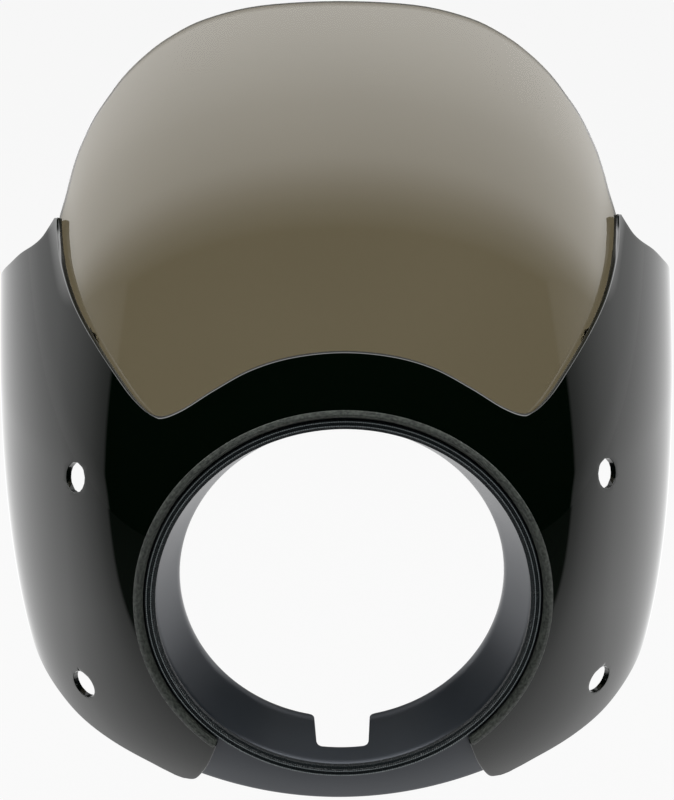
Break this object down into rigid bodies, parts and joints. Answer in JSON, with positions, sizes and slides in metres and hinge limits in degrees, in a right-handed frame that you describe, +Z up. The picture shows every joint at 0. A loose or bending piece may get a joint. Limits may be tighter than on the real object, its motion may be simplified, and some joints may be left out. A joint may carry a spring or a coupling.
{
  "type": "motorcycle headlight fairing",
  "caption": "Cafe style motorcycle fairing: gloss shell round the headlight, smoked windshield above it, and a satin ring that passes the headlight.",
  "frame": {"origin": "on the headlight axis, at the back edge of the headlight collar", "axes": "+Y along the headlight axis to the back of the motorcycle, the face looks along -Y, +X across, +Z up as fitted"},
  "size_m": [0.3556, 0.2135, 0.3734],
  "materials": {
    "gloss_black_abs": "high gloss black moulding",
    "smoked_acrylic": "clear polished sheet, smoked brown grey",
    "black_rubber": "plain matt",
    "grained_rubber": "matt with a fine moulded grain",
    "satin_black_abs": "satin black moulding",
    "zinc_plated_steel": "bright zinc plate"
  },
  "bodies": {
    "root": {"fairing_shell": "gloss_black_abs", "windshield": "smoked_acrylic", "windshield_strip": "black_rubber", "opening_trim": "grained_rubber", "headlight_shroud": "satin_black_abs", "shroud_trim": "grained_rubber", "windshield_screws": "zinc_plated_steel", "windshield_washers": "zinc_plated_steel", "shroud_screws": "zinc_plated_steel", "shroud_washers": "zinc_plated_steel"}
  },
  "joints": []
}
